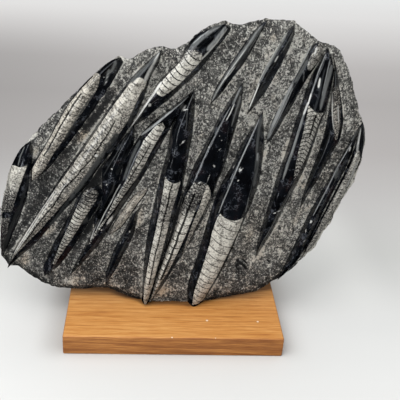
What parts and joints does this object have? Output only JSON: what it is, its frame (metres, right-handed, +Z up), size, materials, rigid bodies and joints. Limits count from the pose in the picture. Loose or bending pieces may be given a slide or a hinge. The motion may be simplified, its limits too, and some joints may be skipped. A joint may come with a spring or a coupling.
{
  "type": "orthoceras fossil slab on a wooden stand",
  "caption": "Polished dark stone slab with long pointed fossils standing out in relief on its front, stood upright on a plain rectangular wooden base.",
  "frame": {"origin": "centre of the wooden base's flat underside", "axes": "+X along the base's width, to the right as seen from the relief side, +Y from the relief side to the rough back, +Z up"},
  "size_m": [0.3205, 0.13, 0.297],
  "materials": {
    "polished_limestone": "polished black fossils and a pecked dark grey matrix",
    "oak": "satin, with a straight grain along the width"
  },
  "bodies": {
    "root": {"fossil_slab": "polished_limestone", "oak_base": "oak"}
  },
  "joints": []
}
